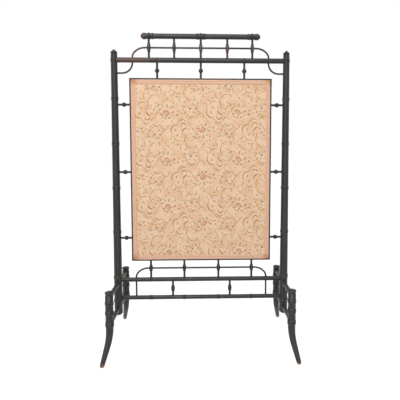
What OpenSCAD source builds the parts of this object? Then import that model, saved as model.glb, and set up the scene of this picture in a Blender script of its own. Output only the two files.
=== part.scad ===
// Faux bamboo cheval fire screen: a turned and ebonised frame on four sabre feet,
// with an upholstered panel held clear of it by small turned spindles.
// Right is +X, the front is -Y, up is +Z, and the floor is Z = 0 under the middle of the screen.
// All sizes are in millimetres.

/* [Panel] */
// Width of the panel over its wooden frame
panel_w = 481; // [470:1:540]
// Height of the panel over its wooden frame
panel_h = 625; // [580:1:700]
// Thickness of the panel's wooden frame
panel_t = 18; // [14:0.5:24]
// Width of each member of the panel's frame
member_w = 24; // [22:0.5:34]
// Radius of the eased edges of the panel's frame
member_ease = 1.5; // [0.5:0.1:3]

/* [Panel covering] */
// Thickness of the tapestry
tapestry_t = 1.2; // [0.6:0.1:2]
// Distance from the frame's edge to the tapestry's edge
tapestry_inset = 7; // [6:0.5:12]
// Width of the gimp braid round the tapestry
gimp_w = 14.5; // [10:0.5:18]
// Thickness of the gimp braid at its two ridges
gimp_t = 2.4; // [1.6:0.1:3.5]
// Bare edge of the frame that shows outside the gimp
gimp_inset = 5.5; // [2:0.5:6]
// Thickness of the cloth on the back of the panel
backing_t = 0.8; // [0.5:0.1:1.5]
// Distance from the frame's edge to the backing cloth's edge
backing_inset = 6; // [3:0.5:12]

/* [Heights] */
// Height of the base rail's axis above the floor
base_rail_z = 154.3; // [146:0.1:166]
// Rise from the base rail's axis to the mid rail's axis
mid_rail_rise = 64.3; // [56:0.1:80]
// Rise from the mid rail's axis to the panel's lower edge
panel_rise = 68.4; // [62:0.1:90]
// Rise from the panel's upper edge to the top rail's axis
top_rail_rise = 60.5; // [54:0.1:80]
// Rise from the top rail's axis to the crest rail's axis
crest_rail_rise = 79; // [74:0.1:95]
// Rise from the top rail's axis to the top of the posts
finial_rise = 35; // [32:0.1:45]

/* [Posts] */
// Distance from the panel's edge to a post's axis
side_gap = 50.5; // [44:0.1:60]
// Diameter of a post at its lower end
post_bottom_d = 28.8; // [27:0.1:32]
// Diameter of a post at its upper end
post_top_d = 21.6; // [20:0.1:25]
// Height of the rounded lower end of a post
post_end_h = 9; // [5:0.1:12]
// Drop from the lower stretchers' axis to the posts' lower end
post_drop = 26.5; // [22:0.1:40]
// Height of the lowest plain bamboo ring above the mid rail's axis
ring_first_rise = 169.4; // [120:0.1:180]
// Distance between the plain bamboo rings
ring_pitch = 152; // [130:0.5:155]
// Number of plain bamboo rings on a post
ring_count = 4; // [2:1:4]
// Height of the centre of the ring that marks the mid rail, above that rail's axis
mid_ring_rise = 9.4; // [0:0.1:14]
// Depth of the centre of the ring that marks the base rail, below that rail's axis
base_ring_drop = 8.4; // [0:0.1:14]

/* [Bamboo rings] */
// Radius of each of a ring's two beads on posts and legs
bead_r = 3.2; // [2.4:0.1:3.6]
// How far a bead stands out from a post or a leg
bead_proud = 1.6; // [0.8:0.1:2.2]
// Radius of each of a ring's two beads on rails and stretchers
small_bead_r = 2.7; // [2:0.1:3.2]
// How far a bead stands out from a rail or a stretcher
small_bead_proud = 1.2; // [0.5:0.1:1.8]

/* [Rails] */
// Diameter of the top rail
top_rail_d = 17.2; // [15:0.1:19]
// Diameter of the mid rail
mid_rail_d = 15.2; // [14:0.1:18]
// Diameter of the base rail
base_rail_d = 14.4; // [14:0.1:18]
// Diameter of the round tenons at the ends of rails and stretchers
tenon_d = 9.5; // [7:0.1:11]
// How far a rail's tenon runs past a post's axis
tenon_past = 2; // [0:0.1:4]

/* [Crest rail] */
// Length of the crest rail over its end knobs
crest_rail_l = 401; // [390:1:440]
// Diameter of the crest rail
crest_rail_d = 17.4; // [15:0.1:20]
// How far the crest rail's knobs stand out from its shaft
crest_knob_proud = 1.9; // [1:0.1:3]
// Largest ring of a knob and of the middle, beyond the crest rail's shaft
crest_ring_proud = 3.1; // [1.5:0.1:4]

/* [Spindles] */
// Diameter of the spindles' rods
spindle_d = 7.4; // [5.5:0.1:8.4]
// How deep a spindle's end sits in its socket
seat_depth = 6; // [4:0.1:7]
// Diameter of the long beads of the crest spindles
crest_bead_d = 13; // [11:0.1:15]
// Length of the long beads of the crest spindles
crest_bead_l = 28; // [20:0.5:31]
// Diameter of the long beads of the gallery and base spindles
gallery_bead_d = 13.6; // [11:0.1:15]
// Length of the long beads of the gallery and base spindles
gallery_bead_l = 23; // [18:0.5:26]
// Diameter of the ball beads between the panel and the outer frame
ball_bead_d = 15.4; // [12:0.1:17]
// Length of the ball beads between the panel and the outer frame
ball_bead_l = 12.4; // [10:0.1:15]
// Distance of the two inner crest spindles from the middle
crest_spindle_inner = 89.6; // [70:0.1:110]
// Distance of the two outer crest spindles from the middle
crest_spindle_outer = 174.5; // [150:0.1:178]
// Distance of the two outer hangers above the panel from the middle
hanger_outer = 147.5; // [110:0.1:160]
// Distance of the two inner gallery spindles from the middle
gallery_spindle_inner = 59.6; // [45:0.1:75]
// Distance of the two outer gallery spindles from the middle
gallery_spindle_outer = 176; // [150:0.1:177]
// Distance of the two base spindles from the middle
base_spindle_out = 100; // [85:0.1:150]
// Height of the lowest side spindles above the panel's lower edge
side_spindle_low = 80; // [50:0.5:110]
// Distance between the side spindles
side_spindle_pitch = 228.5; // [180:0.5:234]

/* [Bent canes] */
// Diameter of the bent canes
cane_d = 6; // [4.5:0.1:7]
// Rise from the top rail's axis to the crest cane
crest_cane_rise = 41; // [36:0.1:44]
// Rise from the mid rail's axis to the gallery cane
gallery_cane_rise = 40.6; // [36:0.1:44]
// How far the canes' bends run along the rails
cane_bend_run = 42; // [34:0.5:44]
// Distance from a post's axis to the end of the crest cane and to the corner bow below it
cane_inset = 61; // [54:0.5:62]
// Distance from a post's axis to the upright end of the gallery cane
gallery_cane_inset = 63.6; // [56:0.5:64]
// Drop from the top rail's axis to a corner bow's foot in the post
bow_drop = 43.4; // [38:0.1:50]

/* [Legs] */
// Distance from the posts' plane to a leg's axis
leg_y = 137.2; // [110:0.5:160]
// Diameter of a leg's turned part
leg_d = 25.4; // [22:0.1:29]
// Height of the top of a leg
leg_top = 226.5; // [222:0.5:250]
// Diameter of a leg's cap
leg_cap_d = 27.4; // [24:0.1:33]
// Thickness of a leg's cap
leg_cap_t = 8; // [5:0.1:9]
// Height of the upper ring on a leg
leg_ring_high = 187; // [182:0.5:190]
// Height of the middle ring on a leg
leg_ring_mid = 155; // [145:0.5:165]
// Height of the lower ring on a leg
leg_ring_low = 117.6; // [112:0.1:124]

/* [Stretchers] */
// Height of the upper stretchers between the legs and the posts
stretcher_high = 205; // [200:0.5:208]
// Height of the lower stretchers between the legs and the posts
stretcher_low = 118; // [108:0.5:128]
// Diameter of the stretchers
stretcher_d = 15.4; // [12:0.1:17]
// Distance of a stretcher's rings from the surfaces that it joins
stretcher_ring_in = 11; // [8:0.1:20]
// How deep a stretcher's tenons sit
stretcher_tenon_l = 8; // [6:0.1:8.5]

/* [Sabre feet] */
// Diameter of a foot where it leaves the lower ring
foot_top_d = 24.6; // [20:0.1:25.2]
// Diameter of a foot near its tip
foot_tip_d = 14.6; // [11:0.1:18]
// Drop from the lower ring to the start of a foot's bend
foot_straight = 12.6; // [8:0.1:20]
// Radius of a foot's bend
foot_bend_r = 97; // [80:1:120]
// Lean of a foot's lower end from upright, in degrees
foot_lean = 34; // [24:0.5:40]
// Turn of the feet outwards from straight ahead, in degrees
foot_splay = 18.8; // [0:0.1:45]
// How much of a foot's rounded tip is worn flat
foot_worn = 1.2; // [0.6:0.1:3]

/* [Clearances] */
// Gap all round a tenon, a spindle or a cane in its socket
fit = 0.1; // [0.05:0.01:0.2]
// Gap between the end of a piece and the bottom of its socket
end_gap = 0.3; // [0.2:0.05:0.6]

/* [Hidden] */
$fn = 40;

ebony = "#2e2a28";
worn_ebony = "#3c322c";
cloth_peach = "#d9b592";
braid_pink = "#dcae94";
linen = "#b8aa8e";

post_x = panel_w / 2 + side_gap;
mid_rail_z = base_rail_z + mid_rail_rise;
panel_z = mid_rail_z + panel_rise;
panel_top = panel_z + panel_h;
top_rail_z = panel_top + top_rail_rise;
crest_rail_z = top_rail_z + crest_rail_rise;
post_low = stretcher_low - post_drop;
post_top = top_rail_z + finial_rise;
crest_cane_z = top_rail_z + crest_cane_rise;
gallery_cane_z = mid_rail_z + gallery_cane_rise;
bow_z = top_rail_z - bow_drop;
cane_x = post_x - cane_inset;
gallery_cane_x = post_x - gallery_cane_inset;

crest_spindle_x = [-crest_spindle_outer, -crest_spindle_inner, 0, crest_spindle_inner, crest_spindle_outer];
hanger_x = [-hanger_outer, 0, hanger_outer];
gallery_spindle_x = [-gallery_spindle_outer, -gallery_spindle_inner, gallery_spindle_inner, gallery_spindle_outer];
base_spindle_x = [-base_spindle_out, base_spindle_out];
side_spindle_z = [for (i = [0:2]) panel_z + side_spindle_low + i * side_spindle_pitch];
post_ring_z = [
  for (i = [0:ring_count - 1]) mid_rail_z + ring_first_rise + i * ring_pitch,
  mid_rail_z + mid_ring_rise,
  base_rail_z - base_ring_drop,
  top_rail_z
];

// Flat edge of the gimp braid outside its ridges
gimp_edge = 0.8;

// Collars at the two ends of an olive-shaped bead
collar_r = 1.5;
collar_sunk = 0.3;
collar_in = 0.6;

// How much the two beads of a bamboo ring run into each other at their middle
ring_lap = 0.1;

// Finial: a groove, a fat bead, a cap and a small nub, counted down from the top of the post
nub_r = 2.6;
cap_r = 7.4;
cap_top_drop = 1.2;
finial_bead_r = 4.1;
finial_bead_drop = 11;
finial_bead_proud = 0.6;
finial_groove_r = 1.6;
finial_groove_drop = 16.4;
// Step between a post's shaft and its rounded lower end
post_end_step = 0.4;

// Crest rail: a nose and a bulb at each end, and a shaft that is a little thicker near its beads
crest_nose_l = 4.4;
crest_nose_r = 6.6;
crest_nose_edge = 2.2;
crest_bulb_l = 14;
crest_bulb_edge = 3;
crest_swell = 0.6;
crest_swell_l = 25.6;
// Beads of a knob, beyond its bulb: [distance from the rail's end, bead radius]
crest_knob_beads = [[31.5, 2.3], [39.5, 2.6]];
crest_ring_bead = 3;
// Beads on each side of the middle ring: [distance from the middle, bead radius, top below the bulb's]
crest_middle_beads = [[8.6, 2.6, 0], [14.4, 2.2, 0.4]];

// Cap of a leg, and the groove below it
leg_cap_crown = 1.8;
leg_neck_r = 2.6;
leg_neck_out = 1.2;

// Foot: rings of points along its centre line
foot_sides = 28;
foot_bend_steps = 8;
foot_tip_steps = 4;
foot_overlap = 3;

// Long enough to reach past everything in a cut
far = 2000;
// Overlap that lets one piece of a solid run into the next
lap = 1;

function post_r(z) =
  post_top_d / 2 + (post_bottom_d - post_top_d) / 2 * (post_top - z) / (post_top - post_low);

// Radius of the circle whose cap is h high on a base of half width a
function crown_r(a, h) = (a * a + h * h) / (2 * h);

// The two radii of a bend that turns a cane a quarter turn over a given run and drop
function bend_far_r(run, drop) = (run + drop) / 2 + (run - drop) / (2 * (sqrt(2) - 1));
function bend_near_r(run, drop) = (run + drop) / 2 - (run - drop) / (2 * (sqrt(2) - 1));

module right_or_left(side) {
  if (side > 0) children();
  else mirror([1, 0, 0]) children();
}

module rear_or_front(end) {
  if (end > 0) children();
  else mirror([0, 1, 0]) children();
}

// A solid turned on a lathe, from a profile with its radius along x and its length along y
module turned() {
  rotate_extrude() intersection() {
    children();
    translate([0, -far]) square([far, 2 * far]);
  }
}

module turned_along_x() {
  rotate([0, 90, 0]) turned() children();
}

// A bamboo ring: two beads side by side on a shaft of radius r
module ring_profile(r, at, bead, proud) {
  for (s = [-1, 1])
    translate([r + proud - bead, at + s * (bead - ring_lap)]) circle(r = bead);
}

// An olive-shaped bead of diameter d and length l on a rod, with a small collar at each end
module bead_profile(d, l, rod) {
  arc_r = crown_r(l / 2, (d - rod) / 2);
  intersection() {
    translate([d / 2 - arc_r, 0]) circle(r = arc_r, $fn = 96);
    translate([0, -l / 2]) square([d, l]);
  }
  for (s = [-1, 1])
    translate([rod / 2 - collar_sunk, s * (l / 2 - collar_in)]) circle(r = collar_r);
}

// Spindle from z = 0 to z = l, with a bead centred at height at
module spindle(l, bead_d, bead_l, at) {
  turned() {
    square([spindle_d / 2, l]);
    translate([0, at]) bead_profile(bead_d, bead_l, spindle_d);
  }
}

// Socket for a spindle's end, centred on the surface that it is drilled in
module spindle_socket() {
  cylinder(d = spindle_d + 2 * fit, h = 2 * (seat_depth + end_gap), center = true);
}

module cane_socket() {
  cylinder(d = cane_d + 2 * fit, h = 2 * (seat_depth + end_gap), center = true);
}

// Socket for a tenon that runs along x towards the right, with its bottom at x = 0
module tenon_socket(l) {
  rotate([0, -90, 0]) cylinder(d = tenon_d + 2 * fit, h = l);
}

module post_profile(grow = 0) {
  shaft_low = post_low + post_end_h;
  shaft_high = post_top - finial_groove_drop;
  end_r = post_r(shaft_low) - post_end_step;
  end_arc = crown_r(end_r, post_end_h);
  translate([0, -grow]) intersection() {
    translate([0, post_low + end_arc]) circle(r = end_arc, $fn = 96);
    translate([0, post_low]) square([end_r, post_end_h + lap]);
  }
  polygon([
    [0, shaft_low],
    [post_r(shaft_low) + grow, shaft_low],
    [post_r(shaft_high) + grow, shaft_high],
    [0, shaft_high]
  ]);
  for (z = post_ring_z)
    ring_profile(post_r(z) + grow, z, bead_r, bead_proud);
  neck_r = post_r(post_top) - finial_groove_r;
  bead_at = post_r(post_top) - finial_bead_r + finial_bead_proud;
  translate([0, shaft_high - lap]) square([neck_r, finial_groove_drop - finial_bead_drop + lap]);
  translate([bead_at, post_top - finial_bead_drop]) circle(r = finial_bead_r);
  translate([0, post_top - finial_bead_drop - finial_bead_r]) square([bead_at, 2 * finial_bead_r]);
  translate([0, post_top - cap_top_drop - cap_r]) circle(r = cap_r);
  translate([0, post_top - nub_r]) circle(r = nub_r);
}

module post_form(grow = 0) {
  for (s = [-1, 1]) translate([s * post_x, 0, 0]) turned() post_profile(grow);
}

module rail_sockets() {
  for (z = [top_rail_z, mid_rail_z, base_rail_z])
    translate([tenon_past + end_gap, 0, z]) tenon_socket(post_bottom_d);
}

module post(side) {
  right_or_left(side) translate([post_x, 0, 0]) difference() {
    turned() post_profile();
    rail_sockets();
    for (z = side_spindle_z)
      translate([-post_r(z), 0, z]) rotate([0, 90, 0]) spindle_socket();
    translate([-post_r(bow_z), 0, bow_z]) rotate([0, 90, 0]) cane_socket();
    for (z = [stretcher_high, stretcher_low], turn = [90, -90])
      rotate([0, 0, turn])
        translate([post_r(z) - stretcher_tenon_l - end_gap, 0, z])
          rotate([0, 90, 0]) cylinder(d = tenon_d + 2 * fit, h = post_bottom_d);
  }
}

// Rail between the posts: a shaft coped to both posts, with a round tenon at each end
module coped_rail(z, d, ring_x, proud) {
  difference() {
    translate([0, 0, z]) turned_along_x() {
      translate([0, -post_x]) square([d / 2, 2 * post_x]);
      for (x = ring_x) ring_profile(d / 2, x, small_bead_r, proud);
    }
    post_form(fit);
  }
  translate([0, 0, z]) rotate([0, 90, 0])
    cylinder(d = tenon_d, h = 2 * (post_x + tenon_past), center = true);
}

module top_rail() {
  color(worn_ebony) difference() {
    coped_rail(top_rail_z, top_rail_d, hanger_x, small_bead_proud / 2);
    for (x = hanger_x)
      translate([x, 0, top_rail_z - top_rail_d / 2]) spindle_socket();
    for (x = crest_spindle_x)
      translate([x, 0, top_rail_z + top_rail_d / 2]) spindle_socket();
    for (s = [-1, 1], up = [-1, 1])
      translate([s * cane_x, 0, top_rail_z + up * top_rail_d / 2]) cane_socket();
  }
}

module mid_rail() {
  color(ebony) difference() {
    coped_rail(mid_rail_z, mid_rail_d, gallery_spindle_x, small_bead_proud / 2);
    for (x = gallery_spindle_x)
      translate([x, 0, mid_rail_z + mid_rail_d / 2]) spindle_socket();
    for (x = base_spindle_x)
      translate([x, 0, mid_rail_z - mid_rail_d / 2]) spindle_socket();
    for (s = [-1, 1])
      translate([s * gallery_cane_x, 0, mid_rail_z]) cylinder(d = cane_d + 2 * fit, h = 2 * mid_rail_d, center = true);
  }
}

module base_rail() {
  color(ebony) difference() {
    coped_rail(base_rail_z, base_rail_d, gallery_spindle_x, small_bead_proud);
    for (x = base_spindle_x)
      translate([x, 0, base_rail_z + base_rail_d / 2]) spindle_socket();
    for (s = [-1, 1])
      translate([s * gallery_cane_x, 0, base_rail_z + base_rail_d / 2]) cane_socket();
  }
}

// Half of the crest rail's profile, from its middle to its end knob
module crest_half_profile() {
  r = crest_rail_d / 2;
  end = crest_rail_l / 2;
  bulb_r = r + crest_knob_proud;
  bulb_end = end - crest_nose_l;
  square([r, bulb_end]);
  square([crest_nose_r - crest_nose_edge, end]);
  translate([crest_nose_r - crest_nose_edge, end - crest_nose_edge]) circle(r = crest_nose_edge);
  for (y = [crest_bulb_edge, crest_bulb_l - crest_bulb_edge])
    translate([bulb_r - crest_bulb_edge, bulb_end - y]) circle(r = crest_bulb_edge);
  translate([0, bulb_end - crest_bulb_l]) square([bulb_r - crest_bulb_edge, crest_bulb_l]);
  translate([0, bulb_end - crest_bulb_l + crest_bulb_edge])
    square([bulb_r, crest_bulb_l - 2 * crest_bulb_edge]);
  translate([0, bulb_end - crest_bulb_l - crest_swell_l + lap]) square([r + crest_swell, crest_swell_l]);
  for (bead = crest_knob_beads)
    crest_bead(end - bead[0], bead[1], bulb_r);
  crest_bead(crest_spindle_outer, crest_ring_bead, r + crest_ring_proud);
  crest_bead(0, crest_ring_bead, r + crest_ring_proud);
  for (bead = crest_middle_beads)
    crest_bead(bead[0], bead[1], bulb_r - bead[2]);
  square([r + crest_swell, crest_middle_beads[1][0]]);
}

// Bead of a given radius round the crest rail, standing out to radius top
module crest_bead(at, bead, top) {
  translate([top - bead, at]) circle(r = bead);
}

module crest_rail() {
  color(ebony) difference() {
    translate([0, 0, crest_rail_z]) turned_along_x() {
      crest_half_profile();
      mirror([0, 1]) crest_half_profile();
    }
    for (x = crest_spindle_x)
      translate([x, 0, crest_rail_z - crest_rail_d / 2]) spindle_socket();
  }
}

// Crest spindle: up from the top rail to the crest rail, its bead threaded on the crest cane
module crest_spindle(x) {
  low = top_rail_z + top_rail_d / 2 - seat_depth;
  high = crest_rail_z - crest_rail_d / 2 + seat_depth;
  color(worn_ebony) translate([x, 0, low]) difference() {
    spindle(high - low, crest_bead_d, crest_bead_l, crest_cane_z - low);
    translate([0, 0, crest_cane_z - low]) rotate([0, 90, 0])
      cylinder(d = cane_d + 2 * fit, h = 2 * crest_bead_d, center = true);
  }
}

// Hanger: down from the top rail to the panel's frame
module panel_hanger(x) {
  low = panel_top - seat_depth;
  high = top_rail_z - top_rail_d / 2 + seat_depth;
  color(ebony) translate([x, 0, low]) spindle(high - low, ball_bead_d, ball_bead_l, (high - low) / 2);
}

// Side spindle: from the panel's frame out to a post
module side_spindle(side, z) {
  from = panel_w / 2 - seat_depth;
  to = post_x - post_r(z) + seat_depth;
  color(ebony) right_or_left(side) translate([from, 0, z]) rotate([0, 90, 0])
    spindle(to - from, ball_bead_d, ball_bead_l, (to - from) / 2);
}

// Gallery spindle: up from the mid rail to the panel's frame, threaded on the gallery cane
module gallery_spindle(x) {
  low = mid_rail_z + mid_rail_d / 2 - seat_depth;
  high = panel_z + seat_depth;
  color(ebony) translate([x, 0, low]) difference() {
    spindle(high - low, gallery_bead_d, gallery_bead_l, gallery_cane_z - low);
    translate([0, 0, gallery_cane_z - low]) rotate([0, 90, 0])
      cylinder(d = cane_d + 2 * fit, h = 2 * gallery_bead_d, center = true);
  }
}

module base_spindle(x) {
  low = base_rail_z + base_rail_d / 2 - seat_depth;
  high = mid_rail_z - mid_rail_d / 2 + seat_depth;
  color(ebony) translate([x, 0, low]) spindle(high - low, gallery_bead_d, gallery_bead_l, (high - low) / 2);
}

// Arc of cane in the xz plane that leaves [0, 0] at heading a and turns to heading b, from +x towards -z
module cane_arc(r, a, b) {
  translate([-r * sin(a), 0, -r * cos(a)]) rotate([90, 0, 0]) rotate([0, 0, 90 - b])
    rotate_extrude(angle = b - a) translate([r, 0]) circle(d = cane_d);
}

// Quarter bend of cane that starts level at [0, 0] and ends upright, run away and drop below
module cane_bend(run, drop) {
  far_r = bend_far_r(run, drop);
  near_r = bend_near_r(run, drop);
  cane_arc(far_r, 0, 45);
  translate([far_r * sin(45), 0, -far_r * (1 - cos(45))]) cane_arc(near_r, 45, 90);
}

// Hoop of cane: level at height z between the ends at x and -x, and upright down to height low
module cane_hoop(x, z, bend_low, low) {
  level = x - cane_bend_run;
  translate([0, 0, z]) rotate([0, 90, 0]) cylinder(d = cane_d, h = 2 * level, center = true);
  for (s = [-1, 1]) right_or_left(s) {
    translate([level, 0, z]) cane_bend(cane_bend_run, z - bend_low);
    translate([x, 0, low]) cylinder(d = cane_d, h = bend_low - low);
  }
}

module crest_cane() {
  rail_top = top_rail_z + top_rail_d / 2;
  color(worn_ebony) cane_hoop(cane_x, crest_cane_z, rail_top, rail_top - seat_depth);
}

module gallery_cane() {
  color(ebony) cane_hoop(
    gallery_cane_x, gallery_cane_z,
    mid_rail_z + mid_rail_d / 2,
    base_rail_z + base_rail_d / 2 - seat_depth
  );
}

// Corner bow: down from the top rail and out to a post
module corner_bow(side) {
  rail_low = top_rail_z - top_rail_d / 2;
  drop = rail_low - bow_z;
  to = post_x - post_r(bow_z) + seat_depth;
  color(ebony) right_or_left(side) {
    translate([cane_x, 0, rail_low]) cylinder(d = cane_d, h = seat_depth);
    translate([cane_x + drop, 0, bow_z]) rotate([0, 180, 0]) cane_arc(drop, 0, 90);
    translate([cane_x + drop, 0, bow_z]) rotate([0, 90, 0]) cylinder(d = cane_d, h = to - cane_x - drop);
  }
}

// Section of the panel's frame, with eased edges, centred on [0, 0]
module member_section() {
  e = member_ease;
  square([member_w - 2 * e, panel_t], center = true);
  square([member_w, panel_t - 2 * e], center = true);
  for (sx = [-1, 1], sy = [-1, 1])
    translate([sx * (member_w / 2 - e), sy * (panel_t / 2 - e)]) circle(r = e);
}

// Corner laps: the stiles keep the rear half, the rails keep the front half
module lap_cut(from_y) {
  w = member_w + fit;
  for (sx = [-1, 1], sz = [-1, 1])
    translate([sx * (panel_w - w) / 2, from_y, panel_z + panel_h / 2 + sz * (panel_h - w) / 2])
      cube([w + lap, panel_t, w + lap], center = true);
}

module panel_stile(side) {
  color(ebony) difference() {
    translate([side * (panel_w - member_w) / 2, 0, panel_z]) linear_extrude(panel_h) member_section();
    lap_cut(-panel_t / 2);
    for (z = side_spindle_z)
      translate([side * panel_w / 2, 0, z]) rotate([0, 90, 0]) spindle_socket();
  }
}

module panel_rail(z, sockets_z, sockets_x) {
  color(ebony) difference() {
    translate([-panel_w / 2, 0, z]) rotate([0, 90, 0]) linear_extrude(panel_w) member_section();
    lap_cut(panel_t / 2);
    for (x = sockets_x)
      translate([x, 0, sockets_z]) spindle_socket();
  }
}

module tapestry() {
  w = panel_w - 2 * tapestry_inset;
  h = panel_h - 2 * tapestry_inset;
  color(cloth_peach) translate([-w / 2, -panel_t / 2 - tapestry_t, panel_z + tapestry_inset])
    cube([w, tapestry_t, h]);
}

module backing_cloth() {
  w = panel_w - 2 * backing_inset;
  h = panel_h - 2 * backing_inset;
  color(linen) translate([-w / 2, panel_t / 2, panel_z + backing_inset])
    cube([w, backing_t, h]);
}

// Section of the braid: a thin web with two rounded ridges, from x = 0 to x = gimp_w, rising along +y
module gimp_section() {
  web_t = gimp_t / 2;
  ridge_w = gimp_w / 2 - gimp_edge;
  ridge_r = crown_r(ridge_w / 2, gimp_t);
  square([gimp_w, web_t]);
  for (x = [gimp_edge + ridge_w / 2, gimp_w - gimp_edge - ridge_w / 2])
    intersection() {
      translate([x, gimp_t - ridge_r]) circle(r = ridge_r, $fn = 72);
      translate([x - ridge_w / 2, 0]) square([ridge_w, gimp_t]);
    }
}

// Length of braid l long over its mitred ends, lying on the xz plane with its outer edge along x at z = 0
module gimp_strip(l) {
  intersection() {
    translate([-l / 2, 0, 0]) rotate(a = 180, v = [1, 0, 1]) linear_extrude(l) gimp_section();
    translate([0, lap, 0]) rotate([90, 0, 0]) linear_extrude(gimp_t + 2 * lap)
      polygon([[-l / 2, 0], [l / 2, 0], [l / 2 - gimp_w, gimp_w], [-l / 2 + gimp_w, gimp_w]]);
  }
}

module gimp(turn) {
  w = panel_w - 2 * gimp_inset;
  h = panel_h - 2 * gimp_inset;
  upright = turn == 90 || turn == 270;
  color(braid_pink) translate([0, -panel_t / 2 - tapestry_t, panel_z + panel_h / 2]) rotate([0, turn, 0])
    translate([0, 0, -(upright ? w : h) / 2]) gimp_strip(upright ? h : w);
}

// Turned part of a leg
module leg_profile(grow = 0) {
  r = leg_d / 2;
  cap_half = leg_cap_t / 2;
  cap_r = leg_cap_d / 2;
  neck_z = leg_top - leg_cap_crown - leg_cap_t - leg_neck_r;
  crown_a = cap_r - cap_half;
  crown_arc = crown_r(crown_a, leg_cap_crown);
  low = leg_ring_low - bead_r;
  difference() {
    translate([0, low]) square([r + grow, leg_top - leg_cap_crown - cap_half - low]);
    translate([r + leg_neck_out + grow, neck_z]) circle(r = leg_neck_r);
  }
  for (z = [leg_ring_high, leg_ring_mid, leg_ring_low])
    ring_profile(r + grow, z, bead_r, bead_proud);
  translate([cap_r - cap_half + grow, leg_top - leg_cap_crown - cap_half]) circle(r = cap_half);
  translate([0, leg_top - leg_cap_crown - leg_cap_t]) square([cap_r - cap_half + grow, leg_cap_t]);
  intersection() {
    translate([0, leg_top - crown_arc]) circle(r = crown_arc, $fn = 96);
    translate([0, leg_top - leg_cap_crown - lap]) square([crown_a, leg_cap_crown + lap]);
  }
}

// Centre line of a foot by the distance s below the start of its bend: [outward, down, lean]
foot_arc = foot_bend_r * foot_lean * PI / 180;
foot_bend_z = leg_ring_low - foot_straight;
foot_tip_r = foot_tip_d / 2;
foot_run = (foot_bend_z - foot_tip_r + foot_worn - foot_bend_r * sin(foot_lean)) / cos(foot_lean);
foot_length = foot_arc + foot_run;
function foot_lean_at(s) = foot_lean * min(max(s, 0), foot_arc) / foot_arc;
function foot_line(s) =
  let (a = foot_lean_at(s), past = max(s - foot_arc, 0) + min(s, 0))
  [foot_bend_r * (1 - cos(a)) + past * sin(a), foot_bend_r * sin(a) + past * cos(a), a];
function foot_r(s) =
  foot_top_d / 2 + (foot_tip_r - foot_top_d / 2) * max(s, 0) / foot_length;

// One ring of points round the centre line, turned square to it
function foot_ring(at, r) = [
  for (k = [0:foot_sides - 1])
    let (t = 360 * k / foot_sides)
    [at[0] + r * cos(t) * cos(at[2]), r * sin(t), foot_bend_z - at[1] + r * cos(t) * sin(at[2])]
];

foot_stations = [
  for (s = [-foot_straight - foot_overlap + bead_r, 0]) [foot_line(s), foot_r(s)],
  for (i = [1:foot_bend_steps]) let (s = foot_arc * i / foot_bend_steps) [foot_line(s), foot_r(s)],
  for (i = [0:foot_tip_steps - 1])
    let (t = 90 * i / foot_tip_steps, s = foot_length + foot_tip_r * sin(t))
    [foot_line(s), foot_tip_r * cos(t)]
];

module sabre_foot() {
  rings = len(foot_stations);
  points = [for (st = foot_stations) each foot_ring(st[0], st[1])];
  sides = [
    for (i = [0:rings - 2], k = [0:foot_sides - 1])
      let (a = i * foot_sides + k, b = i * foot_sides + (k + 1) % foot_sides)
      [a, b, b + foot_sides, a + foot_sides]
  ];
  last = (rings - 1) * foot_sides;
  polyhedron(
    points,
    concat(sides, [[for (k = [foot_sides - 1:-1:0]) k]], [[for (k = [0:foot_sides - 1]) last + k]])
  );
}

// Leg: turned part and sabre foot in one, with sockets for the two stretchers on its inner side
module leg(side, end) {
  color(worn_ebony) right_or_left(side) rear_or_front(end) translate([post_x, leg_y, 0]) difference() {
    union() {
      turned() leg_profile();
      rotate([0, 0, 90 - foot_splay]) sabre_foot();
    }
    for (z = [stretcher_high, stretcher_low])
      translate([0, -leg_d / 2 + stretcher_tenon_l + end_gap, z]) rotate([90, 0, 0])
        cylinder(d = tenon_d + 2 * fit, h = leg_d);
    translate([0, 0, -far]) cube(2 * far, center = true);
  }
}

// Stretcher between a leg and a post: coped to both, with a round tenon at each end
module stretcher(side, end, z) {
  r = stretcher_d / 2;
  leg_face = leg_y - leg_d / 2;
  color(ebony) right_or_left(side) rear_or_front(end) translate([post_x, 0, 0]) {
    difference() {
      translate([0, 0, z]) rotate([-90, 0, 0]) turned() {
        square([r, leg_y]);
        for (y = [post_r(z) + stretcher_ring_in, leg_face - stretcher_ring_in])
          ring_profile(r, y, small_bead_r, small_bead_proud);
      }
      translate([0, leg_y, 0]) turned() leg_profile(fit);
      translate([0, leg_y, 0]) cylinder(d = foot_top_d + 2 * fit, h = leg_ring_low);
      turned() post_profile(fit);
    }
    translate([0, post_r(z) - stretcher_tenon_l, z]) rotate([-90, 0, 0])
      cylinder(d = tenon_d, h = leg_face - post_r(z) + 2 * stretcher_tenon_l);
  }
}

color(ebony) post(-1);  // post_left
color(ebony) post(1);  // post_right
top_rail();
mid_rail();
base_rail();
crest_rail();
crest_spindle(crest_spindle_x[0]);  // crest_spindle_1
crest_spindle(crest_spindle_x[1]);  // crest_spindle_2
crest_spindle(crest_spindle_x[2]);  // crest_spindle_3
crest_spindle(crest_spindle_x[3]);  // crest_spindle_4
crest_spindle(crest_spindle_x[4]);  // crest_spindle_5
crest_cane();
corner_bow(-1);  // corner_bow_left
corner_bow(1);  // corner_bow_right
panel_hanger(hanger_x[0]);  // panel_hanger_1
panel_hanger(hanger_x[1]);  // panel_hanger_2
panel_hanger(hanger_x[2]);  // panel_hanger_3
side_spindle(-1, side_spindle_z[0]);  // side_spindle_left_1
side_spindle(-1, side_spindle_z[1]);  // side_spindle_left_2
side_spindle(-1, side_spindle_z[2]);  // side_spindle_left_3
side_spindle(1, side_spindle_z[0]);  // side_spindle_right_1
side_spindle(1, side_spindle_z[1]);  // side_spindle_right_2
side_spindle(1, side_spindle_z[2]);  // side_spindle_right_3
gallery_spindle(gallery_spindle_x[0]);  // gallery_spindle_1
gallery_spindle(gallery_spindle_x[1]);  // gallery_spindle_2
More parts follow.
